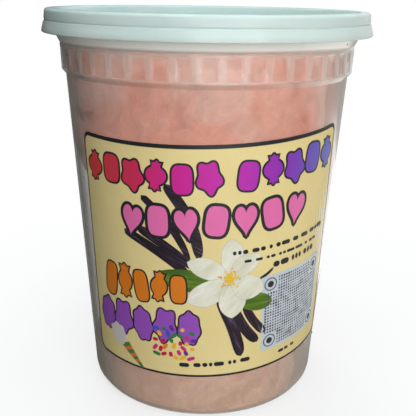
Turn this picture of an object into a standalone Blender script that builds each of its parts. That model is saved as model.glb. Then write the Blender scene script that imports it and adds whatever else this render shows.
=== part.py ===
"""A clear plastic tub packed with cotton candy, with a press-on lid and a wrapped paper label.

Metres, +Z up. The origin is the middle of the tub's foot, and the middle of the label faces -Y.
"""
import math

import bmesh
import bpy
from mathutils import Matrix, Vector

# Driving dimensions, in metres.
TOTAL_HEIGHT = 0.1430
PLASTIC = 0.0007
CLEARANCE = 0.0003

# Tub, from its foot up. Radii are those of the outer face.
HEEL_RADIUS = 0.0445
HEEL_ROUNDING = 0.0045
FOOT_RING_INNER_RADIUS = 0.0375
PUSH_UP_RADIUS = 0.0355
PUSH_UP_HEIGHT = 0.0012
SHOULDER_RADIUS = 0.0515
SHOULDER_HEIGHT = 0.1206
BAND_BOTTOM_RADIUS = 0.0530
BAND_BOTTOM_HEIGHT = 0.1225
BAND_TOP_RADIUS = 0.0533
BAND_TOP_HEIGHT = 0.1317
COLLAR_RADIUS = 0.0562
COLLAR_HEIGHT = 0.1375
TUB_RIM_HEIGHT = 0.1402

# Shallow pockets between the upright ribs of the stacking band.
RIB_COUNT = 45
POCKET_SHARE = 0.60
POCKET_DEPTH = 0.0003
POCKET_MARGIN = 0.0011

# Lid. Depths are measured down from the top of its rim.
LID_WALL = 0.0008
SKIRT_RADIUS = 0.0595
SKIRT_DEPTH = 0.0078
GROOVE_RADIUS = 0.0583
GROOVE_DEPTH = 0.0038
GROOVE_SIZE = 0.0003
RIM_OUTER_RADIUS = 0.0579
RIM_INNER_RADIUS = 0.0544
RIM_ROUNDING = 0.0010
RECESS_RADIUS = 0.0531
RECESS_DEPTH = 0.0049
SEAT_RADIUS = 0.0456
SEAT_DEPTH = 0.0056

# Cotton candy: it stands up to the collar at the wall and is domed under the lid.
CANDY_EDGE_HEIGHT = 0.1322
CANDY_TOP_HEIGHT = 0.1360

# Label, measured flat.
LABEL_WIDTH = 0.1030
LABEL_HEIGHT = 0.0856
LABEL_MIDDLE_HEIGHT = 0.0613
LABEL_CORNER = 0.0035
LABEL_THICKNESS = 0.00015
LABEL_TILT = math.radians(2.0)

# Facets round each turned piece.
TUB_STEPS = 60
LID_STEPS = 56
CANDY_STEPS = 44
LABEL_COLUMNS = 24

MERGE = 0.000001


def make_collection(name):
    collection = bpy.data.collections.new(name)
    bpy.context.scene.collection.children.link(collection)
    return collection


def make_material(name, color, roughness, alpha=1.0):
    material = bpy.data.materials.new(name)
    material.use_nodes = True
    shader = material.node_tree.nodes["Principled BSDF"]
    shader.inputs["Base Color"].default_value = (*color, 1.0)
    shader.inputs["Roughness"].default_value = roughness
    shader.inputs["Metallic"].default_value = 0.0
    shader.inputs["Alpha"].default_value = alpha
    return material


def make_object(name, bm, collection, material=None):
    mesh = bpy.data.meshes.new(name)
    bm.to_mesh(mesh)
    bm.free()
    piece = bpy.data.objects.new(name, mesh)
    collection.objects.link(piece)
    if material:
        mesh.materials.append(material)
    return piece


def rounded(corners, arc_steps):
    """Profile points from corners of (radius, height, rounding), with an arc at each rounding."""
    points = []
    for index, (radius, height, rounding) in enumerate(corners):
        corner = Vector((radius, height))
        if rounding == 0:
            points.append(corner)
            continue
        before = (Vector(corners[index - 1][:2]) - corner).normalized()
        after = (Vector(corners[index + 1][:2]) - corner).normalized()
        half_angle = before.angle(after) / 2
        centre = corner + (before + after).normalized() * rounding / math.sin(half_angle)
        reach = rounding / math.tan(half_angle)
        for step in range(arc_steps + 1):
            chord = (corner + before * reach).lerp(corner + after * reach, step / arc_steps)
            points.append(centre + (chord - centre).normalized() * rounding)
    return points


def turn(name, points, steps, collection, material):
    """A profile in the XZ plane turned once round the Z axis."""
    bm = bmesh.new()
    verts = [bm.verts.new((x, 0, z)) for x, z in points]
    for upper, lower in zip(verts, verts[1:]):
        bm.edges.new((upper, lower))
    piece = make_object(name, bm, collection, material)
    screw = piece.modifiers.new("Turn", "SCREW")
    screw.axis = "Z"
    screw.angle = math.tau
    screw.steps = steps
    screw.render_steps = steps
    screw.use_merge_vertices = True
    screw.merge_threshold = MERGE
    screw.use_smooth_shade = True
    return piece


def give_wall(piece, thickness, offset):
    solidify = piece.modifiers.new("Wall", "SOLIDIFY")
    solidify.thickness = thickness
    solidify.offset = offset
    solidify.use_even_offset = True


def body_radius(height):
    """Outer radius of the tapered wall between the heel and the shoulder."""
    return HEEL_RADIUS + (SHOULDER_RADIUS - HEEL_RADIUS) * height / SHOULDER_HEIGHT


def tub_corners():
    return [
        (COLLAR_RADIUS, TUB_RIM_HEIGHT, 0),
        (COLLAR_RADIUS, COLLAR_HEIGHT, 0.0008),
        (BAND_TOP_RADIUS, BAND_TOP_HEIGHT, 0),
        (BAND_BOTTOM_RADIUS, BAND_BOTTOM_HEIGHT, 0.0004),
        (SHOULDER_RADIUS, SHOULDER_HEIGHT, 0),
        (HEEL_RADIUS, 0, HEEL_ROUNDING),
        (FOOT_RING_INNER_RADIUS, 0, 0),
        (PUSH_UP_RADIUS, PUSH_UP_HEIGHT, 0),
        (0, PUSH_UP_HEIGHT, 0),
    ]


def make_pocket_cutter(collection):
    """A ring of blocks that stand just outside the band and reach a pocket's depth into it."""
    bm = bmesh.new()
    width = math.tau * BAND_TOP_RADIUS / RIB_COUNT * POCKET_SHARE
    height = BAND_TOP_HEIGHT - BAND_BOTTOM_HEIGHT - 2 * POCKET_MARGIN
    reach = 0.0040
    size = Matrix.Diagonal((width, reach, height, 1))
    middle = Vector((0, BAND_BOTTOM_RADIUS - POCKET_DEPTH + reach / 2, 0))
    middle.z = (BAND_TOP_HEIGHT + BAND_BOTTOM_HEIGHT) / 2
    for rib in range(RIB_COUNT):
        turned = Matrix.Rotation(math.tau * rib / RIB_COUNT, 4, "Z")
        bmesh.ops.create_cube(bm, size=1, matrix=turned @ Matrix.Translation(middle) @ size)
    cutter = make_object("pocket_cutter", bm, collection)
    cutter.hide_render = True
    cutter.display_type = "WIRE"
    return cutter


def make_tub(collection, cutters):
    material = make_material("clear_tub_plastic", (0.90, 0.88, 0.84), 0.12, alpha=0.35)
    tub = turn("tub", rounded(tub_corners(), 2), TUB_STEPS, collection, material)
    give_wall(tub, PLASTIC, -1)
    pockets = tub.modifiers.new("Pockets", "BOOLEAN")
    pockets.operation = "DIFFERENCE"
    pockets.solver = "EXACT"
    pockets.object = make_pocket_cutter(cutters)


def make_lid(collection):
    material = make_material("milky_lid_plastic", (0.78, 0.87, 0.86), 0.28, alpha=0.85)
    groove_height = TOTAL_HEIGHT - GROOVE_DEPTH
    skirt_height = TOTAL_HEIGHT - SKIRT_DEPTH
    corners = [
        (0, TOTAL_HEIGHT - SEAT_DEPTH, 0),
        (SEAT_RADIUS - 0.0006, TOTAL_HEIGHT - SEAT_DEPTH, 0),
        (SEAT_RADIUS, TOTAL_HEIGHT - RECESS_DEPTH, 0),
        (RECESS_RADIUS, TOTAL_HEIGHT - RECESS_DEPTH, 0.0007),
        (RIM_INNER_RADIUS, TOTAL_HEIGHT, RIM_ROUNDING),
        (RIM_OUTER_RADIUS, TOTAL_HEIGHT, RIM_ROUNDING),
        (GROOVE_RADIUS, groove_height + GROOVE_SIZE, 0),
        (GROOVE_RADIUS - GROOVE_SIZE, groove_height, 0),
        (GROOVE_RADIUS + 0.0001, groove_height - GROOVE_SIZE, 0),
        (SKIRT_RADIUS, skirt_height, 0.0005),
        (SKIRT_RADIUS - 0.0010, skirt_height - 0.0001, 0),
    ]
    lid = turn("lid", rounded(corners, 2), LID_STEPS, collection, material)
    give_wall(lid, LID_WALL, -1)


def make_cotton_candy(collection):
    """The floss fills the tub, one wall and a clearance inside the tub's outer face."""
    material = make_material("pink_cotton_candy", (0.84, 0.62, 0.56), 0.95)
    inset = PLASTIC + CLEARANCE
    floor = PUSH_UP_HEIGHT + inset
    corners = [
        (0, CANDY_TOP_HEIGHT, 0),
        (SEAT_RADIUS * 0.8, CANDY_TOP_HEIGHT - 0.0004, 0),
        (BAND_BOTTOM_RADIUS - POCKET_DEPTH - inset, CANDY_EDGE_HEIGHT, 0.0025),
        (BAND_BOTTOM_RADIUS - POCKET_DEPTH - inset, BAND_BOTTOM_HEIGHT + 0.0006, 0.0004),
        (body_radius(SHOULDER_HEIGHT) - inset - 0.0001, SHOULDER_HEIGHT, 0),
        (body_radius(floor) - inset, floor, HEEL_ROUNDING - inset),
        (0, floor, 0),
    ]
    turn("cotton_candy", rounded(corners, 3), CANDY_STEPS, collection, material)


def wrap_on_body(point, gap):
    """Put a point of the flat label on the tapered wall, a gap outside it."""
    tilted = Matrix.Rotation(LABEL_TILT, 2) @ Vector((point.x, point.y))
    taper = (SHOULDER_RADIUS - HEEL_RADIUS) / SHOULDER_HEIGHT
    half_angle = math.atan(taper)
    apex_distance = body_radius(LABEL_MIDDLE_HEIGHT) / math.sin(half_angle)
    across = tilted.x
    along = apex_distance + tilted.y
    distance = math.hypot(across, along)
    turned = math.atan2(across, along) / math.sin(half_angle)
    height = LABEL_MIDDLE_HEIGHT + (distance - apex_distance) * math.cos(half_angle)
    radius = body_radius(height) + gap
    return Vector((radius * math.sin(turned), -radius * math.cos(turned), height))


def make_label(collection):
    """A thin sheet with rounded corners, laid round the tapered wall."""
    material = make_material("cream_label_paper", (0.86, 0.78, 0.52), 0.45)
    bm = bmesh.new()
    size = Matrix.Diagonal((LABEL_WIDTH, LABEL_HEIGHT, 1, 1))
    bmesh.ops.create_grid(bm, x_segments=LABEL_COLUMNS, y_segments=2, size=0.5, matrix=size)
    corners = [v for v in bm.verts if len(v.link_edges) == 2]
    bmesh.ops.bevel(
        bm, geom=corners, offset=LABEL_CORNER, offset_type="OFFSET", segments=3, profile=0.5,
        affect="VERTICES", material=-1,
    )
    for vert in bm.verts:
        vert.co = wrap_on_body(vert.co, CLEARANCE)
    label = make_object("label", bm, collection, material)
    give_wall(label, LABEL_THICKNESS, 1)


def main():
    for old in list(bpy.data.objects):
        bpy.data.objects.remove(old, do_unlink=True)
    parts = make_collection("cotton_candy_tub")
    cutters = make_collection("cutters")
    make_tub(parts, cutters)
    make_lid(parts)
    make_cotton_candy(parts)
    make_label(parts)


main()
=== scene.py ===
import math
import random

import bmesh
import bpy
from mathutils import Matrix, Vector, noise


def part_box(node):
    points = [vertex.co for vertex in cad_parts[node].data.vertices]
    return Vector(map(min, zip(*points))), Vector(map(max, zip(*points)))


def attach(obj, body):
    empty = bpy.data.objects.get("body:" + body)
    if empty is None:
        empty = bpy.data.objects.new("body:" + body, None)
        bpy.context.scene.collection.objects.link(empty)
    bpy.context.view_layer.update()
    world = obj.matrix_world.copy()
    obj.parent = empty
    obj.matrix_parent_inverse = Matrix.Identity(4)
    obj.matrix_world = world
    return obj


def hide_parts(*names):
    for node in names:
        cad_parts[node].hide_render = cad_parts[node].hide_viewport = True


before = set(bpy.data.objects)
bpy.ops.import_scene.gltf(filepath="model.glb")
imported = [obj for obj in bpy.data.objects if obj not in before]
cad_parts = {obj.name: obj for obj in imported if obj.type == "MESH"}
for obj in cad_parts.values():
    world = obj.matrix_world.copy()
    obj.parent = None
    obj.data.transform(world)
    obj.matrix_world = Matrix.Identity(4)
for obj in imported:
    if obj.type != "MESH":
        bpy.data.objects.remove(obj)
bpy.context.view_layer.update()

MM = 0.001


def node_size(node):
    """Lowest and highest corners of a node of the frame, in millimetres."""
    low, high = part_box(node)
    return low / MM, high / MM


TOP = node_size("lid")[1].z
SKIRT_RADIUS = node_size("lid")[1].x
SKIRT_BOTTOM = node_size("lid")[0].z
TUB_RIM = node_size("tub")[1].z
COLLAR_RADIUS = node_size("tub")[1].x

# Tub wall, outer face
WALL = 0.7
HEEL_RADIUS = 44.5
SHOULDER_RADIUS = 51.5
SHOULDER_HEIGHT = 120.6
BAND_BOTTOM = 122.5
BAND_TOP = 131.7
BAND_RADIUS = 53.2
RIBS = 45
POCKET_DEPTH = 0.35
FLOSS_IN_WALL = 0.35

# Label, measured flat
LABEL_WIDTH = 103.0
LABEL_HEIGHT = 85.6
LABEL_CORNER = 3.4
LABEL_MIDDLE = 61.3
LABEL_TILT = math.radians(2.0)
PAPER = 0.12
PAPER_GAP = 0.03
INK_STEP = 0.012
STRIP = 2.0

SKIN_STEPS = 360


# ---------------------------------------------------------------- shapes

def body_radius(height):
    """Outer radius of the tapered wall."""
    return HEEL_RADIUS + (SHOULDER_RADIUS - HEEL_RADIUS) * height / SHOULDER_HEIGHT


def smooth_step(low, high, value):
    share = min(max((value - low) / (high - low), 0.0), 1.0)
    return share * share * (3 - 2 * share)


def rounded(corners, arc_steps):
    """Profile points from corners of (radius, height, rounding), with an arc at each rounding."""
    points = []
    for index, (radius, height, rounding) in enumerate(corners):
        corner = Vector((radius, height))
        if rounding == 0:
            points.append(corner)
            continue
        before = (Vector(corners[index - 1][:2]) - corner).normalized()
        after = (Vector(corners[index + 1][:2]) - corner).normalized()
        half_angle = before.angle(after) / 2
        centre = corner + (before + after).normalized() * rounding / math.sin(half_angle)
        reach = rounding / math.tan(half_angle)
        for step in range(arc_steps + 1):
            chord = (corner + before * reach).lerp(corner + after * reach, step / arc_steps)
            points.append(centre + (chord - centre).normalized() * rounding)
    return points


def divided(points, longest):
    """The same profile with no stretch longer than a limit."""
    finer = [points[0]]
    for start, end in zip(points, points[1:]):
        parts = max(1, math.ceil((end - start).length / longest))
        finer += [start.lerp(end, part / parts) for part in range(1, parts + 1)]
    return finer


def spun(points, steps):
    """A profile turned once round the Z axis, as an open or closed skin that faces out."""
    bm = bmesh.new()
    verts = [bm.verts.new((x, 0, z)) for x, z in points]
    edges = [bm.edges.new(pair) for pair in zip(verts, verts[1:])]
    bmesh.ops.spin(
        bm, geom=verts + edges, cent=(0, 0, 0), axis=(0, 0, 1), angle=math.tau, steps=steps,
        use_merge=True,
    )
    bmesh.ops.remove_doubles(bm, verts=bm.verts, dist=0.0001)
    bmesh.ops.recalc_face_normals(bm, faces=bm.faces)
    widest = max(bm.faces, key=lambda f: f.calc_center_median().xy.length)
    if widest.normal.xy.dot(widest.calc_center_median().xy) < 0:
        bmesh.ops.reverse_faces(bm, faces=bm.faces)
    return bm


def give_wall(bm, thickness):
    """Thickens an open skin inwards, so that its outer face stays where it is."""
    bm.normal_update()
    bmesh.ops.solidify(bm, geom=bm.faces[:], thickness=thickness)
    bmesh.ops.recalc_face_normals(bm, faces=bm.faces)


def new_piece(name, bm, material, stands_for=None, sharp=35):
    """Scales a bmesh to metres and makes it a piece that rides on the tub."""
    bmesh.ops.scale(bm, vec=(MM, MM, MM), verts=bm.verts)
    mesh = bpy.data.meshes.new(name)
    bm.to_mesh(mesh)
    bm.free()
    mesh.materials.append(material)
    mesh.shade_smooth()
    mesh.set_sharp_from_angle(angle=math.radians(sharp))
    piece = bpy.data.objects.new(name, mesh)
    bpy.context.scene.collection.objects.link(piece)
    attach(piece, "root")
    if stands_for:
        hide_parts(stands_for)
    return piece


# ---------------------------------------------------------------- shader helpers

def node(tree, kind, inputs=None, **settings):
    """A shader node with its settings and input values. An input may be another node's socket."""
    made = tree.nodes.new(kind)
    for key, value in settings.items():
        setattr(made, key, value)
    for key, value in (inputs or {}).items():
        if isinstance(value, bpy.types.NodeSocket):
            tree.links.new(value, made.inputs[key])
        else:
            made.inputs[key].default_value = value
    return made


def ramp(tree, factor, stops):
    """A colour ramp from (position, colour) stops."""
    made = node(tree, "ShaderNodeValToRGB", {"Fac": factor})
    elements = made.color_ramp.elements
    while len(elements) < len(stops):
        elements.new(0.5)
    for element, (position, color) in zip(elements, stops):
        element.position = position
        element.color = (*color, 1.0)
    return made.outputs["Color"]


def math_node(tree, operation, *values, clamp=False):
    made = node(tree, "ShaderNodeMath", operation=operation, use_clamp=clamp)
    for slot_index, value in enumerate(values):
        if isinstance(value, bpy.types.NodeSocket):
            tree.links.new(value, made.inputs[slot_index])
        else:
            made.inputs[slot_index].default_value = value
    return made.outputs[0]


def map_range(tree, value, low, high, to_low=0.0, to_high=1.0):
    ends = {"Value": value, "From Min": low, "From Max": high, "To Min": to_low, "To Max": to_high}
    return node(tree, "ShaderNodeMapRange", ends).outputs[0]


def laid_along(tree, place, turn, length):
    """Coordinates stretched along a turned direction, for grain that runs that way."""
    made = node(tree, "ShaderNodeMapping", {"Vector": place, "Rotation": turn, "Scale": length})
    made.vector_type = "TEXTURE"
    return made.outputs[0]


def blend_color(tree, factor, first, second, mode="MIX"):
    made = node(tree, "ShaderNodeMix", data_type="RGBA", blend_type=mode)
    for socket, value in ((made.inputs[0], factor), (made.inputs[6], first), (made.inputs[7], second)):
        if isinstance(value, bpy.types.NodeSocket):
            tree.links.new(value, socket)
        elif isinstance(value, tuple):
            socket.default_value = (*value, 1.0)
        else:
            socket.default_value = value
    return made.outputs[2]


def new_group(name, inputs, outputs):
    """A node group with named value inputs (name, default) and outputs (name, socket type)."""
    group = bpy.data.node_groups.new(name, "ShaderNodeTree")
    for label, socket_type, default in inputs:
        made = group.interface.new_socket(name=label, in_out="INPUT", socket_type=socket_type)
        made.default_value = default
    for label, socket_type in outputs:
        group.interface.new_socket(name=label, in_out="OUTPUT", socket_type=socket_type)
    return group, group.nodes.new("NodeGroupInput"), group.nodes.new("NodeGroupOutput")


def use_group(tree, group, **values):
    made = node(tree, "ShaderNodeGroup", node_tree=group)
    for key, value in values.items():
        socket = made.inputs[key]
        if isinstance(value, bpy.types.NodeSocket):
            tree.links.new(value, socket)
        else:
            socket.default_value = (*value, 1.0) if isinstance(value, tuple) else value
    return made


def new_material(name, **inputs):
    """A material with one Principled shader. Keyword names are socket names with _ for spaces."""
    material = bpy.data.materials.new(name)
    material.use_nodes = True
    tree = material.node_tree
    shader = tree.nodes["Principled BSDF"]
    for key, value in inputs.items():
        socket = shader.inputs[key.replace("_", " ")]
        is_color = isinstance(value, tuple) and socket.type == "RGBA"
        socket.default_value = (*value, 1.0) if is_color else value
    return material, tree, shader


def bump(tree, height, strength, distance):
    made = node(tree, "ShaderNodeBump", {"Height": height, "Strength": strength, "Distance": distance})
    return made.outputs["Normal"]


def object_place(tree):
    return tree.nodes.new("ShaderNodeTexCoord").outputs["Object"]


def make_moulded_marks():
    """Group: faint flow marks and scuffs of moulded plastic, as a roughness and a height."""
    group, given, result = new_group(
        "moulded_marks",
        [("Roughness", "NodeSocketFloat", 0.2), ("Amount", "NodeSocketFloat", 0.1)],
        [("Roughness", "NodeSocketFloat"), ("Height", "NodeSocketFloat")],
    )
    place = object_place(group)
    stretched = node(group, "ShaderNodeMapping", {"Vector": place, "Scale": (1.0, 1.0, 0.25)})
    flow = node(
        group, "ShaderNodeTexNoise",
        {"Vector": stretched.outputs[0], "Scale": 90.0, "Detail": 3.0, "Roughness": 0.55},
    )
    scuff = node(group, "ShaderNodeTexNoise", {"Vector": place, "Scale": 900.0, "Detail": 2.0})
    mixed = math_node(group, "ADD", flow.outputs[0], scuff.outputs[0])
    centred = math_node(group, "SUBTRACT", mixed, 1.0)
    change = math_node(group, "MULTIPLY", centred, given.outputs["Amount"])
    rough = math_node(group, "ADD", change, given.outputs["Roughness"], clamp=True)
    group.links.new(rough, result.inputs["Roughness"])
    group.links.new(flow.outputs[0], result.inputs["Height"])
    return group


def make_paper_grain():
    """Group: the mottle of printed paper on a colour, and the height of its fibres."""
    group, given, result = new_group(
        "paper_grain",
        [("Color", "NodeSocketColor", (1, 1, 1, 1)), ("Amount", "NodeSocketFloat", 0.1)],
        [("Color", "NodeSocketColor"), ("Height", "NodeSocketFloat")],
    )
    place = object_place(group)
    mottle = node(group, "ShaderNodeTexNoise", {"Vector": place, "Scale": 260.0, "Detail": 4.0})
    fibre = node(group, "ShaderNodeTexNoise", {"Vector": place, "Scale": 2600.0, "Detail": 2.0})
    both = math_node(group, "ADD", mottle.outputs[0], fibre.outputs[0])
    centred = math_node(group, "SUBTRACT", both, 1.0)
    shade = math_node(group, "MULTIPLY_ADD", centred, given.outputs["Amount"], 1.0)
    tint = node(group, "ShaderNodeCombineXYZ", {"X": shade, "Y": shade, "Z": shade})
    color = blend_color(group, 1.0, given.outputs["Color"], tint.outputs[0], "MULTIPLY")
    group.links.new(color, result.inputs["Color"])
    group.links.new(fibre.outputs[0], result.inputs["Height"])
    return group


MOULDED_MARKS = make_moulded_marks()
PAPER_GRAIN = make_paper_grain()


# ---------------------------------------------------------------- materials

def clear_plastic():
    """Clear plastic with a slight haze: see-through head on, milky at its edges, ribs and collar.

    It is painted hazier and paler on the +X side as painted light, and its see-through edges carry a painted
    reflection, near black on the -X side and pale grey on the +X side.
    """
    material, tree, haze = new_material(
        "clear_tub_plastic", Base_Color=(0.97, 0.96, 0.92), Roughness=0.35, Specular_IOR_Level=0.2
    )
    marks = use_group(tree, MOULDED_MARKS, Roughness=0.16, Amount=0.10)
    place = object_place(tree)
    flat = node(tree, "ShaderNodeVectorMath", {0: place, 1: (1.0, 1.0, 0.0)}, operation="MULTIPLY")
    radius = node(tree, "ShaderNodeVectorMath", {0: flat.outputs[0]}, operation="LENGTH").outputs["Value"]
    on_ribs = map_range(tree, radius, (BAND_RADIUS - 0.4) * MM, (BAND_RADIUS - 0.1) * MM, 0.0, 0.20)
    on_collar = map_range(tree, radius, (BAND_RADIUS + 0.2) * MM, (BAND_RADIUS + 0.7) * MM, 0.0, 0.74)
    facing = node(tree, "ShaderNodeLayerWeight", {"Blend": 0.50}).outputs["Facing"]
    edge = math_node(tree, "POWER", facing, 3.0)
    milky = math_node(tree, "MULTIPLY_ADD", edge, 0.65, 0.06)
    milky = math_node(tree, "ADD", milky, on_ribs)
    # painted light: the +X side of the wall is drawn hazier and paler, where light falls from that side
    across = node(tree, "ShaderNodeSeparateXYZ", {"Vector": place}).outputs["X"]
    painted_light_side = math_node(tree, "DIVIDE", across, radius)
    milky = math_node(tree, "ADD", milky, map_range(tree, painted_light_side, 0.60, 0.98, 0.0, 0.26))
    milky = math_node(tree, "ADD", milky, on_collar, clamp=True)
    behind = tree.nodes.new("ShaderNodeNewGeometry").outputs["Backfacing"]
    front = math_node(tree, "SUBTRACT", 1.0, behind)
    milky = math_node(tree, "MULTIPLY", milky, front)
    mirror = node(tree, "ShaderNodeFresnel", {"IOR": 1.45}).outputs[0]
    mirror = math_node(tree, "MULTIPLY_ADD", edge, 0.15, math_node(tree, "MULTIPLY", mirror, 0.70))
    mirror = math_node(tree, "MULTIPLY", mirror, front)
    # painted reflection: the see-through edges are drawn near black on the -X side and pale grey on the +X
    # side
    painted_edge_reflection = blend_color(
        tree, map_range(tree, painted_light_side, -0.9, 0.9), (0.05, 0.06, 0.07), (0.34, 0.35, 0.33)
    )
    painted_edge_mask = math_node(tree, "MULTIPLY", edge, front)
    clear_tint_with_painted_reflection = blend_color(tree, painted_edge_mask, (0.97, 0.97, 0.96), painted_edge_reflection)
    clear = node(tree, "ShaderNodeBsdfTransparent", {"Color": clear_tint_with_painted_reflection})
    gloss = node(
        tree, "ShaderNodeBsdfGlossy", {"Color": (1, 1, 1, 1), "Roughness": marks.outputs["Roughness"]}
    )
    body = node(tree, "ShaderNodeMixShader", {0: milky, 1: clear.outputs[0], 2: haze.outputs[0]})
    whole = node(tree, "ShaderNodeMixShader", {0: mirror, 1: body.outputs[0], 2: gloss.outputs[0]})
    normal = bump(tree, marks.outputs["Height"], 0.06, 0.0004)
    tree.links.new(normal, haze.inputs["Normal"])
    tree.links.new(normal, gloss.inputs["Normal"])
    tree.links.new(whole.outputs[0], tree.nodes["Material Output"].inputs["Surface"])
    return material


def milky_plastic():
    """The lid's milky plastic, with a few dark specks moulded in."""
    material, tree, shader = new_material(
        "milky_lid_plastic", Specular_IOR_Level=0.3, Alpha=0.93, Subsurface_Weight=0.7,
        Subsurface_Scale=0.004, Subsurface_Radius=(1.0, 1.0, 1.0),
    )
    marks = use_group(tree, MOULDED_MARKS, Roughness=0.20, Amount=0.12)
    place = object_place(tree)
    clouds = node(tree, "ShaderNodeTexNoise", {"Vector": place, "Scale": 45.0, "Detail": 3.0})
    base = ramp(tree, clouds.outputs[0], [(0.35, (0.66, 0.88, 0.84)), (0.65, (0.73, 0.91, 0.86))])
    dots = node(tree, "ShaderNodeTexVoronoi", {"Vector": place, "Scale": 110.0, "Randomness": 1.0})
    speck = math_node(tree, "LESS_THAN", dots.outputs["Distance"], 0.035)
    chance = node(tree, "ShaderNodeSeparateColor", {"Color": dots.outputs["Color"]}).outputs[0]
    rare = math_node(tree, "LESS_THAN", chance, 0.12)
    speck = math_node(tree, "MULTIPLY", math_node(tree, "MULTIPLY", speck, rare), 0.6)
    color = blend_color(tree, speck, base, (0.16, 0.17, 0.16))
    tree.links.new(color, shader.inputs["Base Color"])
    tree.links.new(marks.outputs["Roughness"], shader.inputs["Roughness"])
    tree.links.new(bump(tree, marks.outputs["Height"], 0.05, 0.0004), shader.inputs["Normal"])
    return material


def floss():
    """Spun sugar: cloudy salmon pink with fine strands that run every way."""
    material, tree, shader = new_material(
        "pink_cotton_candy", Roughness=0.95, Sheen_Weight=0.15, Sheen_Roughness=0.5,
        Specular_IOR_Level=0.1,
    )
    place = object_place(tree)
    bent = node(tree, "ShaderNodeTexNoise", {"Vector": place, "Scale": 38.0, "Detail": 2.0})
    swirl = node(
        tree, "ShaderNodeVectorMath", {0: bent.outputs["Color"], 1: (0.03, 0.03, 0.03)}, operation="MULTIPLY"
    )
    warped = node(tree, "ShaderNodeVectorMath", {0: place, 1: swirl.outputs[0]}, operation="ADD").outputs[0]
    height = node(tree, "ShaderNodeSeparateXYZ", {"Vector": place}).outputs["Z"]
    blush_starts = map_range(tree, height, 0.088, 0.108, 0.0, 0.13)
    blush_ends = map_range(tree, height, 0.119, 0.107)
    blush = math_node(tree, "MULTIPLY", blush_starts, blush_ends)
    clouds = node(
        tree, "ShaderNodeTexNoise", {"Vector": warped, "Scale": 34.0, "Detail": 4.0, "Roughness": 0.5}
    )
    tone = math_node(tree, "SUBTRACT", clouds.outputs[0], blush)
    base = ramp(
        tree, tone,
        [(0.28, (0.71, 0.245, 0.175)), (0.42, (0.71, 0.31, 0.235)), (0.52, (0.72, 0.385, 0.315)),
         (0.64, (0.74, 0.46, 0.395))],
    )
    low_down = map_range(tree, height, 0.040, 0.012, 0.0, 0.85)
    base = blend_color(tree, low_down, base, (0.66, 0.42, 0.31))
    wisps = []
    for turn, scale, length in (
        ((0.2, 0.9, 0.0), 190.0, 5.0), ((0.5, -0.8, 0.6), 280.0, 6.0), ((0.3, 1.2, 0.2), 1100.0, 14.0),
        ((-0.4, -0.6, 0.3), 1300.0, 14.0), ((1.0, 0.3, 1.2), 900.0, 14.0),
    ):
        laid = laid_along(tree, warped, turn, (1.0, 1.0, length))
        wisps.append(
            node(tree, "ShaderNodeTexNoise", {"Vector": laid, "Scale": scale, "Detail": 2.0}).outputs[0]
        )
    broad = math_node(tree, "ADD", wisps[0], wisps[1])
    strands = math_node(tree, "MAXIMUM", math_node(tree, "MAXIMUM", wisps[2], wisps[3]), wisps[4])
    light = math_node(tree, "MULTIPLY_ADD", broad, 0.30, 0.52)
    light = math_node(tree, "MULTIPLY_ADD", strands, 0.32, light)
    shade = node(tree, "ShaderNodeCombineXYZ", {"X": light, "Y": light, "Z": light})
    base = blend_color(tree, 1.0, base, shade.outputs[0], "MULTIPLY")
    tree.links.new(base, shader.inputs["Base Color"])
    tree.links.new(bump(tree, strands, 0.25, 0.0003), shader.inputs["Normal"])
    return material


def finish_print(tree, shader, color, amount=0.08):
    """Sends a print colour through the paper's grain to the shader."""
    grain = use_group(tree, PAPER_GRAIN, Color=color, Amount=amount)
    tree.links.new(grain.outputs["Color"], shader.inputs["Base Color"])
    tree.links.new(bump(tree, grain.outputs["Height"], 0.08, 0.0001), shader.inputs["Normal"])


def cream_paper():
    material, tree, shader = new_material("cream_label_paper", Roughness=0.55, Specular_IOR_Level=0.15)
    flat = node(tree, "ShaderNodeUVMap", uv_map="label").outputs[0]
    clouds = node(tree, "ShaderNodeTexNoise", {"Vector": flat, "Scale": 3.0, "Detail": 2.0})
    color = ramp(tree, clouds.outputs[0], [(0.35, (0.79, 0.65, 0.30)), (0.65, (0.83, 0.70, 0.34))])
    finish_print(tree, shader, color, 0.05)
    return material


def ink_from_attribute(name, roughness=0.45):
    """Print whose colour is stored on each shape."""
    material, tree, shader = new_material(name, Roughness=roughness)
    stored = node(tree, "ShaderNodeAttribute", attribute_name="ink").outputs["Color"]
    finish_print(tree, shader, stored, 0.12)
    return material


def streaked_ink(name, stops, turn, length, fine=60.0, amount=0.12):
    """Print with streaks that run along a turned direction on the label."""
    material, tree, shader = new_material(name, Roughness=0.45)
    flat = node(tree, "ShaderNodeUVMap", uv_map="label").outputs[0]
    laid = laid_along(tree, flat, (0.0, 0.0, turn), (length, 1.0, 1.0))
    streaks = node(
        tree, "ShaderNodeTexNoise", {"Vector": laid, "Scale": fine, "Detail": 5.0, "Roughness": 0.7}
    )
    finish_print(tree, shader, ramp(tree, streaks.outputs[0], stops), amount)
    return material


# ---------------------------------------------------------------- tub, lid and floss

def pocket_share(turned, height):
    """How far into the pockets of the stacking band a point lies, from 0 on a rib to 1."""
    pitch = math.tau / RIBS
    place = ((turned / pitch) % 1.0) - 0.5
    across = 1 - smooth_step(0.27, 0.37, abs(place))
    along = smooth_step(BAND_BOTTOM + 0.7, BAND_BOTTOM + 1.2, height)
    along *= 1 - smooth_step(BAND_TOP - 1.7, BAND_TOP - 1.2, height)
    return across * along


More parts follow.
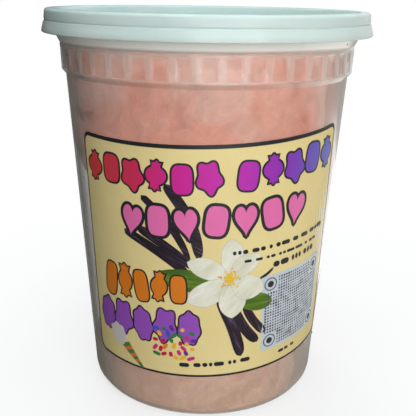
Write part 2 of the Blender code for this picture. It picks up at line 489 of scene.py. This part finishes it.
def make_tub():
    corners = [
        (COLLAR_RADIUS, TUB_RIM, 0),
        (COLLAR_RADIUS, 137.5, 1.0),
        (BAND_RADIUS + 0.25, BAND_TOP + 0.25, 0.3),
        (BAND_RADIUS - 0.2, BAND_TOP - 0.15, 0.15),
        (BAND_RADIUS + 0.12, BAND_TOP - 0.6, 0.3),
        (BAND_RADIUS + 0.08, BAND_TOP - 1.2, 0),
        (BAND_RADIUS + 0.07, BAND_TOP - 1.45, 0),
        (BAND_RADIUS + 0.06, BAND_TOP - 1.7, 0),
        (BAND_RADIUS - 0.16, BAND_BOTTOM + 1.2, 0),
        (BAND_RADIUS - 0.17, BAND_BOTTOM + 0.95, 0),
        (BAND_RADIUS - 0.18, BAND_BOTTOM + 0.7, 0),
        (BAND_RADIUS - 0.2, BAND_BOTTOM, 0.45),
        (SHOULDER_RADIUS + 0.05, SHOULDER_HEIGHT + 0.2, 0.4),
        (HEEL_RADIUS, 0, 4.5),
        (37.5, 0, 0.3),
        (35.5, 1.2, 0.6),
        (0, 1.2, 0),
    ]
    bm = spun(rounded(corners, 4), RIBS * 10)
    for vert in bm.verts:
        turned = math.atan2(vert.co.x, -vert.co.y)
        radius = vert.co.xy.length
        if radius > SHOULDER_RADIUS:
            pushed = radius - POCKET_DEPTH * pocket_share(turned, vert.co.z)
            vert.co.xy *= pushed / radius
    give_wall(bm, WALL)
    new_piece("tub_wall", bm, clear_plastic(), "tub", sharp=50)


def make_lid():
    groove = TOP - 3.9
    corners = [
        (0, TOP - 5.3, 0),
        (1.6, TOP - 5.3, 0.25),
        (2.2, TOP - 5.6, 0.3),
        (44.8, TOP - 5.6, 0.4),
        (45.6, TOP - 4.9, 0.4),
        (53.1, TOP - 4.9, 0.7),
        (54.4, TOP, 1.0),
        (57.95, TOP, 1.05),
        (58.3, groove + 0.45, 0.3),
        (58.08, groove, 0.2),
        (58.5, groove - 0.4, 0.3),
        (SKIRT_RADIUS - 0.25, SKIRT_BOTTOM + 1.6, 0.8),
        (SKIRT_RADIUS + 0.1, SKIRT_BOTTOM, 0.45),
        (SKIRT_RADIUS - 1.0, SKIRT_BOTTOM - 0.05, 0),
    ]
    bm = spun(rounded(corners, 5), SKIN_STEPS)
    give_wall(bm, 0.8)
    new_piece("lid_shell", bm, milky_plastic(), "lid", sharp=60)


def floss_relief(point, turned, height):
    """How far the floss stands back from where the wall would press it flat."""
    folds = noise.fractal(point / 15.0, 1.0, 2.0, 3)
    lumps = noise.fractal(point / 5.5 + Vector((7, 3, 1)), 1.0, 2.0, 2)
    hollow = 1.3 * max(0.0, folds - 0.25) + 0.3 * max(0.0, lumps - 0.15)
    azimuth = math.degrees(turned) + 2.5 * lumps
    right_fold = smooth_step(46, 49, azimuth) * (1 - smooth_step(100, 125, azimuth))
    right_fold *= 0.9 + 2.6 * (1 - smooth_step(95, 108, height))
    left_gap = smooth_step(-130, -105, azimuth) * (1 - smooth_step(-64, -57, azimuth))
    level = height + 0.7 * (azimuth + 70) * 0.5
    left_gap *= smooth_step(14, 26, height) * (1 - smooth_step(82, 92, level)) * 4.5
    return hollow + (right_fold + left_gap) * smooth_step(3, 10, height)


def make_floss():
    in_band = BAND_RADIUS - POCKET_DEPTH - WALL + 0.25
    corners = [
        (0, 136.0, 0),
        (38, 135.6, 0),
        (in_band, 132.2, 2.4),
        (in_band, BAND_BOTTOM + 0.4, 0.4),
        (SHOULDER_RADIUS - FLOSS_IN_WALL + 0.05, SHOULDER_HEIGHT + 0.3, 0.3),
        (HEEL_RADIUS - FLOSS_IN_WALL, FLOSS_IN_WALL, 4.2),
        (36.0, FLOSS_IN_WALL, 0.3),
        (34.0, 1.2 + WALL * 0.5, 0),
        (0, 1.2 + WALL * 0.5, 0),
    ]
    bm = spun(divided(rounded(corners, 6), 1.3), 300)
    for vert in bm.verts:
        point = vert.co.copy()
        radius = point.xy.length
        turned = math.atan2(point.x, -point.y)
        if point.z > 133.0:
            vert.co.z -= 0.9 + 0.9 * noise.fractal(point / 6.0, 1.0, 2.0, 3)
        elif point.z > 3.0:
            relief = floss_relief(point, turned, point.z)
            vert.co.xy *= (radius - relief) / radius
    new_piece("floss", bm, floss(), "cotton_candy", sharp=180)


def make_crumbs():
    """Four tiny dark crumbs that stick to the tub: (azimuth, height, size)."""
    bm = bmesh.new()
    for azimuth, height, size in ((-66, 128.4, 0.42), (53, 133.4, 0.40), (72, 17.5, 0.50), (-79, 27.0, 0.38)):
        turned = math.radians(azimuth)
        radius = body_radius(height)
        if height > BAND_TOP:
            radius = BAND_RADIUS + 0.5 * (height - BAND_TOP)
        elif height > BAND_BOTTOM:
            radius = BAND_RADIUS
        place = Matrix.Rotation(turned, 4, "Z") @ Matrix.Translation((0, -radius - 0.05, height))
        lump = bmesh.ops.create_icosphere(
            bm, subdivisions=2, radius=size, matrix=place @ Matrix.Diagonal((1.0, 0.45, 0.75, 1.0))
        )
        for vert in lump["verts"]:
            vert.co += 0.12 * size * noise.noise_vector(vert.co * 3.0)
    bmesh.ops.recalc_face_normals(bm, faces=bm.faces)
    material, tree, shader = new_material("crumb_sugar", Roughness=0.6)
    grain = node(tree, "ShaderNodeTexNoise", {"Vector": object_place(tree), "Scale": 4000.0, "Detail": 2.0})
    color = ramp(tree, grain.outputs[0], [(0.4, (0.035, 0.022, 0.018)), (0.6, (0.16, 0.07, 0.03))])
    tree.links.new(color, shader.inputs["Base Color"])
    tree.links.new(bump(tree, grain.outputs[0], 0.3, 0.0001), shader.inputs["Normal"])
    new_piece("crumbs", bm, material, sharp=60)


# ---------------------------------------------------------------- label

def wrapped(u, v, lift):
    """Where a point of the flat label goes on the tapered wall."""
    across = u * math.cos(LABEL_TILT) - v * math.sin(LABEL_TILT)
    half_angle = math.atan((SHOULDER_RADIUS - HEEL_RADIUS) / SHOULDER_HEIGHT)
    apex_distance = body_radius(LABEL_MIDDLE) / math.sin(half_angle)
    along = apex_distance + u * math.sin(LABEL_TILT) + v * math.cos(LABEL_TILT)
    distance = math.hypot(across, along)
    turned = math.atan2(across, along) / math.sin(half_angle)
    height = LABEL_MIDDLE + (distance - apex_distance) * math.cos(half_angle)
    radius = body_radius(height) + PAPER_GAP + lift
    return Vector((radius * math.sin(turned), -radius * math.cos(turned), height))


def lay_on_tub(bm, low, high):
    """Slices flat shapes into strips, gives them a thickness and wraps them on the wall."""
    flat = bm.loops.layers.uv.new("label")
    reach = int(LABEL_WIDTH / 2 / STRIP) + 1
    for strip in range(-reach, reach + 1):
        geometry = bm.verts[:] + bm.edges[:] + bm.faces[:]
        cut = (strip * STRIP, 0, 0)
        bmesh.ops.bisect_plane(bm, geom=geometry, dist=0.0001, plane_co=cut, plane_no=(1, 0, 0))
    bmesh.ops.triangulate(bm, faces=bm.faces[:])
    for face in bm.faces:
        if face.normal.z < 0:
            face.normal_flip()
        for loop in face.loops:
            place = loop.vert.co
            loop[flat].uv = (place.x / LABEL_WIDTH + 0.5, place.y / LABEL_HEIGHT + 0.5)
    raised = bmesh.ops.extrude_face_region(bm, geom=bm.faces[:])
    top = [item for item in raised["geom"] if isinstance(item, bmesh.types.BMVert)]
    bmesh.ops.translate(bm, vec=(0, 0, 1), verts=top)
    bmesh.ops.recalc_face_normals(bm, faces=bm.faces)
    for vert in bm.verts:
        vert.co = wrapped(vert.co.x, vert.co.y, high if vert.co.z > 0.5 else low)


def ink_piece(name, shapes, layer, material, rings=()):
    """Printed shapes of one layer. A shape is (outline, colour); a ring is (outer, inner, colour)."""
    bm = bmesh.new()
    ink = bm.loops.layers.float_color.new("ink")

    def loop_of(outline):
        verts = [bm.verts.new((u, v, 0)) for u, v in outline]
        return verts, [bm.edges.new(pair) for pair in zip(verts, verts[1:] + verts[:1])]

    def paint(faces, color):
        for face in faces:
            for loop in face.loops:
                loop[ink] = (*(color(loop.vert.co.x) if callable(color) else color), 1.0)

    for outline, color in shapes:
        paint([bm.faces.new([bm.verts.new((u, v, 0)) for u, v in outline])], color)
    for outer, inner, color in rings:
        edges = loop_of(outer)[1] + loop_of(inner)[1]
        paint(bmesh.ops.bridge_loops(bm, edges=edges)["faces"], color)
    bm.normal_update()
    lay_on_tub(bm, PAPER - 0.02, PAPER + layer * INK_STEP)
    return new_piece(name, bm, material)


def grown(outline, amount):
    """An outline moved outwards by the same amount all round."""
    result = []
    for index, point in enumerate(outline):
        run = Vector(outline[(index + 1) % len(outline)]) - Vector(outline[index - 1])
        out = Vector((run.y, -run.x)).normalized()
        result.append(Vector(point) + out * amount)
    return result


def rounded_box(middle, wide, high, corner, steps=6):
    points = []
    for index, (side, level) in enumerate(((1, 1), (-1, 1), (-1, -1), (1, -1))):
        centre = Vector(middle) + Vector((side * (wide / 2 - corner), level * (high / 2 - corner)))
        for step in range(steps + 1):
            angle = math.pi / 2 * (index + step / steps)
            points.append(centre + corner * Vector((math.cos(angle), math.sin(angle))))
    return points


def sweet(middle, wide, high, turn=0.0, square=2.0, lobes=0, depth=0.0, steps=48):
    """A rounded sweet: an ellipse that can be squarer or have lobes."""
    points = []
    rotate = Matrix.Rotation(turn, 2)
    for step in range(steps):
        angle = math.tau * step / steps
        across, along = math.cos(angle), math.sin(angle)
        reach = (abs(across) ** square + abs(along) ** square) ** (-1 / square)
        reach *= 1 + depth * math.cos(lobes * angle + math.pi / 2)
        points.append(Vector(middle) + rotate @ Vector((wide / 2 * reach * across, high / 2 * reach * along)))
    return points


def heart(middle, wide, high, turn=0.0, steps=48):
    points = []
    rotate = Matrix.Rotation(turn, 2)
    for step in range(steps):
        angle = -math.tau * step / steps
        across = math.sin(angle) ** 3
        waves = ((13, 1), (-5, 2), (-2, 3), (-1, 4))
        along = sum(weight * math.cos(times * angle) for weight, times in waves) / 15
        points.append(Vector(middle) + rotate @ Vector((wide / 2 * across, high / 2 * (along + 0.15))))
    return points


def blade(base, tip, wide, fullness=2.0, bend=0.0, lean=1.0, sharpness=0.6, steps=24):
    """A petal, leaf or pod between two points."""
    base, tip = Vector(base), Vector(tip)
    run = tip - base
    side = Vector((run.y, -run.x)).normalized()
    right, left = [], []
    for step in range(1, steps):
        share = step / steps
        half = wide / 2 * (1 - abs(2 * share ** lean - 1) ** fullness) ** sharpness
        spine = base + run * share + side * bend * math.sin(math.pi * share)
        right.append(spine + side * half)
        left.append(spine - side * half)
    return [base] + right + [tip] + left[::-1]


def mixed_color(first, second, share):
    return tuple(a + (b - a) * share for a, b in zip(first, second))


def title_color(u):
    """Red at the left through magenta and purple to blue at the right."""
    stops = [
        (-50, (0.70, 0.055, 0.045)), (-28, (0.62, 0.03, 0.09)), (-8, (0.60, 0.01, 0.33)),
        (8, (0.50, 0.012, 0.42)), (24, (0.24, 0.03, 0.46)), (38, (0.13, 0.09, 0.50)),
        (50, (0.13, 0.16, 0.55)),
    ]
    for (low, first), (high, second) in zip(stops, stops[1:]):
        if u <= high:
            return mixed_color(first, second, min(max((u - low) / (high - low), 0.0), 1.0))
    return stops[-1][1]


DARK_INK = (0.013, 0.014, 0.018)
PINK_INK = (0.78, 0.16, 0.42)
ORANGE_INK = (0.72, 0.20, 0.01)
PURPLE_INK = (0.30, 0.08, 0.50)


def sweets_row(starts, ends, middles, highs, forms):
    """Outlines of a row of sweets, from where each starts and ends across the label."""
    row = []
    for index, (start, end) in enumerate(zip(starts, ends)):
        share = index / max(len(starts) - 1, 1)
        middle = ((start + end) / 2, middles[0] + (middles[1] - middles[0]) * share + (index % 2 - 0.5) * 0.8)
        high = highs[0] + (highs[1] - highs[0]) * share
        row.append(forms[index % len(forms)](middle, end - start, high, (index % 3 - 1) * 0.12))
    return row


def wrapped_sweet(middle, wide, high, turn=0.0, steps=72):
    """A round sweet in a twisted wrapper, with a fan at the top and one at the bottom."""
    points = []
    rotate = Matrix.Rotation(turn, 2)
    fan = math.radians(25)
    for step in range(steps):
        angle = math.tau * (step + 0.5) / steps
        off_axis = abs(math.remainder(angle - math.pi / 2, math.pi))
        across, along = math.cos(angle), math.sin(angle)
        reach = 1 / math.hypot(across / (wide * 0.5), along / (high * 0.31))
        if off_axis < fan:
            reach = high / 2 * (0.93 + 0.07 * math.cos(off_axis / fan * math.pi * 2))
        points.append(Vector(middle) + rotate @ Vector((reach * across, reach * along)))
    return points


def puff_form(middle, wide, high, turn):
    return sweet(middle, wide, high, turn, 2.0, 7, 0.06)


def tile_form(middle, wide, high, turn):
    return sweet(middle, wide * 0.94, high * 0.94, turn, 3.4)


def star_form(middle, wide, high, turn):
    return sweet(middle, wide * 1.06, high * 1.0, turn, 2.0, 5, 0.13)


def evenly(count, left, right, gap):
    """Start and end of each of a row of equal shapes with a gap between them."""
    wide = (right - left - gap * (count - 1)) / count
    starts = [left + index * (wide + gap) for index in range(count)]
    return starts, [start + wide for start in starts]


def make_paper():
    bm = bmesh.new()
    outline = rounded_box((0, 0), LABEL_WIDTH, LABEL_HEIGHT, LABEL_CORNER)
    bm.faces.new([bm.verts.new((u, v, 0)) for u, v in outline])
    bm.normal_update()
    lay_on_tub(bm, 0.0, PAPER)
    new_piece("label_paper", bm, cream_paper(), "label")


def make_label_print():
    dark = []
    colored = []
    first_word = evenly(6, -49.2, 2.0, 0.9)
    second_word = evenly(5, 7.0, 49.4, 0.9)
    title = sweets_row(*first_word, (32.2, 31.6), (10.8, 11.2), (wrapped_sweet, tile_form, star_form))
    title += sweets_row(*second_word, (32.2, 33.8), (11.0, 11.4), (tile_form, wrapped_sweet, star_form))
    for outline in title:
        dark.append((grown(outline, 0.35), DARK_INK))
        colored.append((grown(outline, -0.35), title_color))
    hearts = []
    starts, ends = evenly(7, -33.6, 34.2, 0.6)
    for index, (start, end) in enumerate(zip(starts, ends)):
        middle = ((start + end) / 2, 15.9 + 1.5 * index / 6 + (index % 2 - 0.5))
        form = heart if index % 2 == 0 else tile_form
        hearts.append(form(middle, end - start - 1.6, 11.2, (index % 3 - 1) * 0.14))
    for outline in hearts:
        dark.append((grown(outline, 1.1), DARK_INK))
        colored.append((outline, PINK_INK))
    orange = sweets_row(*evenly(5, -43.6, -9.8, 0.5), (-8.8, -7.6), (14.4, 11.6), (tile_form, wrapped_sweet))
    purple = sweets_row(*evenly(5, -48.2, -5.6, 0.5), (-24.0, -22.6), (13.6, 13.6), (puff_form, star_form))
    for outlines, color in ((orange, ORANGE_INK), (purple, PURPLE_INK)):
        for outline in outlines:
            dark.append((grown(outline, 0.25), DARK_INK))
            colored.append((grown(outline, -0.35), color))
    ink_piece("label_outlines", dark, 4, ink_from_attribute("dark_ink"), rings=[border_ring()])
    ink_piece("label_sweets", colored, 6, ink_from_attribute("sweet_ink"))


def border_ring():
    """The dark line round the label: thick along the top, thin down the sides."""
    top, side, bottom = 1.35, 0.55, 0.8
    outer = rounded_box((0, 0), LABEL_WIDTH, LABEL_HEIGHT, LABEL_CORNER)
    inner = rounded_box(
        (0, (bottom - top) / 2), LABEL_WIDTH - 2 * side, LABEL_HEIGHT - top - bottom, LABEL_CORNER - 0.6
    )
    return outer, inner, DARK_INK


def make_label_plant():
    """A pale flower with its leaves and dark pods."""
    upper_pods = [
        blade((-32.6, 11.6), (-8.6, -2.6), 3.4, 7, -1.4, 0.8),
        blade((-26.8, 13.4), (-7.6, 0.2), 3.4, 7, -1.0, 0.8),
        blade((-24.9, 25.0), (-8.6, 2.6), 2.8, 6, -2.2, 0.6),
        blade((-16.4, 29.8), (-5.4, 3.4), 4.0, 7, -2.4, 0.9),
    ]
    lower_pods = [
        blade((0.2, -10.5), (8.5, -35.6), 4.2, 6, -1.0, 1.2),
        blade((5.6, -15.0), (14.8, -31.0), 3.8, 6, 1.0, 1.1),
        blade((9.6, -14.6), (17.8, -28.0), 3.2, 6, 0.8, 1.1),
        blade((15.0, -5.9), (20.8, -2.8), 1.1, 4, 0.4),
    ]
    pod_stops = [
        (0.36, (0.004, 0.003, 0.006)), (0.52, (0.020, 0.010, 0.022)), (0.62, (0.085, 0.045, 0.09)),
        (0.74, (0.34, 0.28, 0.38)),
    ]
    for name, pods, turn in (("upper_pods", upper_pods, -0.62), ("lower_pods", lower_pods, -1.22)):
        ink = streaked_ink(name + "_ink", pod_stops, turn, 14.0, 90.0)
        ink_piece("label_" + name, [(pod, DARK_INK) for pod in pods], 1, ink)
    leaves = [
        blade((-2.6, -4.6), (-20.5, -3.0), 8.4, 2.0, -0.6, 0.8),
        blade((7.0, -12.0), (20.5, -16.0), 7.0, 2.2, 0.4),
    ]
    leaf_stops = [(0.35, (0.03, 0.09, 0.01)), (0.55, (0.10, 0.20, 0.012)), (0.75, (0.42, 0.42, 0.03))]
    leaf_ink = streaked_ink("leaf_ink", leaf_stops, -0.1, 6.0, 24.0)
    ink_piece("label_leaves", [(leaf, PINK_INK) for leaf in leaves], 2, leaf_ink)
    heart_of_flower = Vector((4.4, -4.2))
    petals = [
        ((5.4, 10.6), 8.0, 0.8), ((-9.6, 2.6), 7.4, 0.6), ((-10.0, -12.6), 8.8, -0.8),
        ((5.2, -19.4), 9.4, -0.6), ((16.8, -10.2), 9.2, 0.8), ((15.4, 3.4), 7.0, -0.8),
    ]
    edges, faces = [], []
    for tip, wide, bend in petals:
        outline = blade(heart_of_flower, tip, wide, 2.2, bend, 1.15, 0.85)
        edges.append((grown(outline, 0.14), (0.56, 0.53, 0.36)))
        faces.append((outline, (0.80, 0.80, 0.68)))
    petal_stops = [(0.30, (0.60, 0.59, 0.42)), (0.52, (0.77, 0.76, 0.64)), (0.72, (0.88, 0.88, 0.80))]
    petal_ink = streaked_ink("petal_ink", petal_stops, 0.8, 3.0, 14.0, 0.05)
    edge_ink = ink_from_attribute("petal_edge_ink")
    for index, (edge, face) in enumerate(zip(edges, faces)):
        ink_piece(f"petal_edge_{index + 1}", [edge], 3.0 + 0.3 * index, edge_ink)
        ink_piece(f"petal_{index + 1}", [face], 3.15 + 0.3 * index, petal_ink)
    draw = random.Random(11)
    stamens = [(sweet(heart_of_flower, 3.4, 3.8, 0.3, 2.0, 7, 0.2), (0.80, 0.52, 0.04))]
    for _ in range(30):
        angle = draw.uniform(0, math.tau)
        reach = draw.uniform(1.6, 4.2)
        middle = heart_of_flower + reach * Vector((math.cos(angle), math.sin(angle)))
        size = draw.uniform(0.55, 0.85)
        color = draw.choice(((0.86, 0.55, 0.02), (0.80, 0.30, 0.02)))
        stamens.append((sweet(middle, size, size, steps=10), color))
    ink_piece("label_stamens", stamens[:1], 5.2, ink_from_attribute("stamen_ink"))
    ink_piece("label_pollen", stamens[1:], 5.6, ink_from_attribute("pollen_ink"))


def make_label_panel():
    """A pale square with rows of small grey dots, and a target in each corner."""
    middle = Vector((31.3, -20.6))
    size = 30.2
    panel = rounded_box(middle, size, size, 0.4, 2)
    ink_piece("label_panel", [(panel, (0.58, 0.64, 0.70))], 1, ink_from_attribute("panel_ink"))
    dots, rings = [], []
    corners = [middle + Vector((side, level)) * (size / 2 - 3.6) for side in (-1, 1) for level in (-1, 1)]
    pitch = 1.12
    count = int((size - 2.4) / pitch / 2)
    for column in range(-count, count + 1):
        for line in range(-count, count + 1):
            place = middle + Vector((column, line)) * pitch
            if min((place - corner).length for corner in corners) < 3.6:
                continue
            weight = 0.5 + 0.5 * noise.noise(Vector((column * 0.45, line * 0.45, 3.0)))
            side = pitch * (0.26 + 0.70 * weight)
            dots.append((rounded_box(place, side, side, side * 0.2, 1), (0.07, 0.065, 0.085)))
    for corner in corners:
        outer, inner = (sweet(corner, wide, wide, steps=28) for wide in (5.2, 4.3))
        rings.append((outer, inner, (0.10, 0.11, 0.14)))
        dots.append((sweet(corner, 2.5, 2.5, steps=20), (0.02, 0.02, 0.03)))
    ink_piece("label_dots", dots, 2, ink_from_attribute("dot_ink"), rings=rings)


def strokes(left, right, level, thick, rise, seed):
    """A line of short dark strokes of uneven length."""
    draw = random.Random(seed)
    made = []
    place = left
    while place < right:
        run = min(draw.choice((1.2, 1.8, 2.6, 3.6)), right - place)
        if run < 0.6:
            break
        middle = (place + run / 2, level + rise * (place - left) / (right - left))
        made.append((rounded_box(middle, run, thick, thick * 0.45, 3), DARK_INK))
        place += run + draw.choice((0.55, 0.55, 1.5))
    return made


def make_label_details():
    lines = strokes(5.6, 46.6, 5.2, 1.5, 0.9, 2)
    lines += strokes(9.6, 43.2, 1.7, 1.0, 0.4, 5)
    lines += strokes(20.6, 41.0, -1.7, 2.1, 0.6, 7)
    lines += strokes(-13.6, 12.8, -37.9, 1.6, 0.7, 9)
    lines += strokes(24.2, 34.2, -38.6, 1.1, 0.2, 13)
    ink_piece("label_strokes", lines, 7, ink_from_attribute("stroke_ink"))
    draw = random.Random(4)
    colors = [
        (0.55, 0.01, 0.05), (0.80, 0.48, 0.03), (0.03, 0.20, 0.06), (0.03, 0.09, 0.52), (0.75, 0.22, 0.02),
        (0.12, 0.02, 0.32), (0.60, 0.02, 0.20),
    ]
    sprinkles = []
    while len(sprinkles) < 30:
        middle = Vector((draw.uniform(-22.4, -8.2), draw.uniform(-35.4, -23.2)))
        if any((middle - Vector(other)).length < 2.05 for other, *_ in sprinkles):
            continue
        sprinkles.append((middle, draw.uniform(1.5, 3.2), draw.uniform(0, math.pi), draw.choice(colors)))
    shapes = []
    for middle, length, turn, color in sprinkles:
        shapes.append((sweet(middle, length, 1.4, turn, 3.0, steps=16), color))
    ink_piece("label_sprinkles", shapes, 8, ink_from_attribute("sprinkle_ink"))
    puff = sweet((-38.8, -31.4), 7.8, 8.8, 0.2, 2.0, 7, 0.08)
    cone = [(-37.6, -35.0), (-33.6, -33.2), (-27.4, -42.0), (-28.2, -42.4)]
    ink_piece("label_cone", [(cone[::-1], (0.05, 0.22, 0.05))], 7, ink_from_attribute("cone_ink"))
    bands = []
    band_share = 0.13
    for share in (0.15, 0.42, 0.66):
        left = Vector(cone[0]).lerp(Vector(cone[3]), share)
        right = Vector(cone[1]).lerp(Vector(cone[2]), share)
        lower_right = Vector(cone[1]).lerp(Vector(cone[2]), share + band_share)
        lower_left = Vector(cone[0]).lerp(Vector(cone[3]), share + band_share)
        bands.append(([lower_left, lower_right, right, left], (0.72, 0.16, 0.05)))
    ink_piece("label_cone_bands", bands, 8, ink_from_attribute("cone_band_ink"))
    ink_piece("label_puff", [(puff, (0.66, 0.62, 0.60))], 9, ink_from_attribute("puff_ink"))


# ---------------------------------------------------------------- stage

CAMERA_TURN = math.radians(-4.9)
CAMERA_DISTANCE = 0.2513
CAMERA_HEIGHT = 0.1493
CAMERA_YAW = 0.005
CAMERA_PITCH = 0.317
CAMERA_ROLL = 0.016
LENS = 57.3


def make_camera():
    data = bpy.data.cameras.new("camera")
    data.lens = LENS
    data.sensor_width = 36.0
    data.clip_start = 0.01
    camera = bpy.data.objects.new("camera", data)
    bpy.context.scene.collection.objects.link(camera)
    turn = Matrix.Rotation(CAMERA_TURN, 3, "Z")
    place = turn @ Vector((0, -CAMERA_DISTANCE, CAMERA_HEIGHT))
    ahead = Vector((math.sin(CAMERA_YAW), math.cos(CAMERA_YAW), 0)) * math.cos(CAMERA_PITCH)
    ahead.z = -math.sin(CAMERA_PITCH)
    ahead = turn @ ahead
    right = ahead.cross(Vector((0, 0, 1))).normalized()
    up = right.cross(ahead)
    rolled_right = right * math.cos(CAMERA_ROLL) + up * math.sin(CAMERA_ROLL)
    rolled_up = up * math.cos(CAMERA_ROLL) - right * math.sin(CAMERA_ROLL)
    axes = Matrix((rolled_right, rolled_up, -ahead)).transposed()
    camera.matrix_world = Matrix.Translation(place) @ axes.to_4x4()
    bpy.context.scene.camera = camera


def make_lamp(name, azimuth, elevation, distance, width, height, power, color=(1.0, 1.0, 1.0)):
    """A soft lamp that looks at the middle of the tub. Azimuth 0 is the label's side."""
    data = bpy.data.lights.new(name, "AREA")
    data.shape = "RECTANGLE"
    data.size = width
    data.size_y = height
    data.energy = power
    data.color = color
    lamp = bpy.data.objects.new(name, data)
    bpy.context.scene.collection.objects.link(lamp)
    turn, tip = math.radians(azimuth), math.radians(elevation)
    away = Vector((math.sin(turn) * math.cos(tip), -math.cos(turn) * math.cos(tip), math.sin(tip)))
    target = Vector((0, 0, TOP * MM / 2))
    lamp.location = target + away * distance
    lamp.rotation_euler = (-away).to_track_quat("-Z", "Y").to_euler()
    lamp.visible_camera = False
    return lamp


def make_floor():
    """A pale floor. The camera sees it nearly white with the tub's soft shadow on it."""
    bm = bmesh.new()
    bmesh.ops.create_grid(bm, x_segments=1, y_segments=1, size=15.0)
    mesh = bpy.data.meshes.new("floor")
    bm.to_mesh(mesh)
    bm.free()
    floor = bpy.data.objects.new("floor", mesh)
    bpy.context.scene.collection.objects.link(floor)
    material, tree, shader = new_material("pale_floor", Roughness=0.9, Specular_IOR_Level=0.0)
    seen = tree.nodes.new("ShaderNodeLightPath").outputs["Is Camera Ray"]
    across = node(tree, "ShaderNodeSeparateXYZ", {"Vector": object_place(tree)}).outputs["X"]
    unseen = blend_color(
        tree, map_range(tree, across, -0.10, 0.05), (0.09, 0.09, 0.08), (0.28, 0.25, 0.20)
    )
    tree.links.new(blend_color(tree, seen, unseen, (0.9, 0.9, 0.9)), shader.inputs["Base Color"])
    white = node(tree, "ShaderNodeEmission", {"Color": (1, 1, 1, 1), "Strength": 1.0})
    away = node(tree, "ShaderNodeVectorMath", {0: object_place(tree)}, operation="LENGTH").outputs["Value"]
    share = math_node(tree, "MULTIPLY", seen, map_range(tree, away, 0.07, 0.22, 0.72, 1.0))
    mix = node(tree, "ShaderNodeMixShader", {0: share, 1: shader.outputs[0], 2: white.outputs[0]})
    tree.links.new(mix.outputs[0], tree.nodes["Material Output"].inputs["Surface"])
    mesh.materials.append(material)


def make_world():
    """White to the camera, and a dim even light for everything else."""
    world = bpy.data.worlds.new("studio")
    bpy.context.scene.world = world
    world.use_nodes = True
    tree = world.node_tree
    light = tree.nodes["Background"]
    light.inputs["Color"].default_value = (1.0, 0.94, 0.86, 1.0)
    light.inputs["Strength"].default_value = 0.06
    white = node(tree, "ShaderNodeBackground", {"Color": (1, 1, 1, 1), "Strength": 1.0})
    seen = tree.nodes.new("ShaderNodeLightPath").outputs["Is Camera Ray"]
    mix = node(tree, "ShaderNodeMixShader", {0: seen, 1: light.outputs[0], 2: white.outputs[0]})
    tree.links.new(mix.outputs[0], tree.nodes["World Output"].inputs["Surface"])


make_camera()
make_world()
make_floor()
make_lamp("key", 8, 14, 0.50, 0.42, 0.50, 2.45)
make_lamp("left", -80, 20, 0.45, 0.20, 0.20, 0.05)
make_lamp("overhead", 0, 85, 0.65, 0.45, 0.45, 2.6, (0.78, 0.96, 1.0))
rear = make_lamp("rear", 192, 25, 0.80, 0.60, 0.60, 4.2)
rear.visible_glossy = False
make_lamp("rear_right", 140, 18, 1.00, 0.90, 0.90, 2.0)
table_glow = make_lamp("table_glow", 0, 0, 0, 0.32, 0.34, 0.34)
table_glow.location = (0.24, 0.12, 0.003)
table_glow.rotation_euler = (math.pi, 0.0, 0.0)
make_tub()
make_lid()
make_floss()
make_crumbs()
make_paper()
make_label_print()
make_label_plant()
make_label_panel()
make_label_details()

bpy.context.scene.view_settings.view_transform = "Standard"
